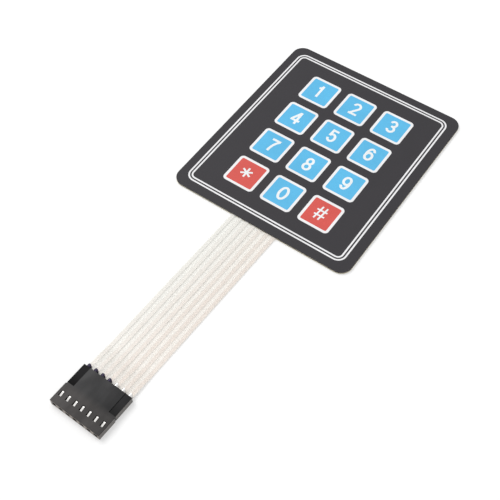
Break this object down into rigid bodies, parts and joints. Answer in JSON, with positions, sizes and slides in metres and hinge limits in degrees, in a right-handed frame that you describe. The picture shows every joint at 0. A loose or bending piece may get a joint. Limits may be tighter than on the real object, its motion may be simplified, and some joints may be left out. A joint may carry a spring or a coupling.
{
  "type": "membrane keypad",
  "caption": "Flat telephone-layout membrane keypad: a layered film pad with a film tail that ends in a crimped single-row socket.",
  "frame": {"origin": "centre of the pad's back face, on the release liner", "axes": "+X from key 1 to key 3, +Y towards the 1-2-3 row, +Z out of the key face; the tail runs towards -Y"},
  "size_m": [0.066, 0.158, 0.0025],
  "materials": {
    "overlay_film": "fine matt texture over black ink",
    "white_ink": "fine matt texture",
    "blue_ink": "fine matt texture",
    "red_ink": "fine matt texture",
    "clear_adhesive": "soft, slightly cloudy",
    "circuit_film": "clear film, slightly milky",
    "silver_ink": "dull silver",
    "release_paper": "waxed paper",
    "housing_plastic": "semi-gloss moulded",
    "tin_plate": "bright tin over brass"
  },
  "bodies": {
    "root": {"graphic_overlay": "overlay_film", "white_print": "white_ink", "blue_print": "blue_ink", "red_print": "red_ink", "overlay_adhesive": "clear_adhesive", "upper_circuit_film": "circuit_film", "row_traces": "silver_ink", "spacer": "clear_adhesive", "column_traces": "silver_ink", "lower_circuit_film": "circuit_film", "rear_adhesive": "clear_adhesive", "release_liner": "release_paper", "connector_housing": "housing_plastic", "contact_1": "tin_plate", "contact_2": "tin_plate", "contact_3": "tin_plate", "contact_4": "tin_plate", "contact_5": "tin_plate", "contact_6": "tin_plate", "contact_7": "tin_plate"}
  },
  "joints": []
}
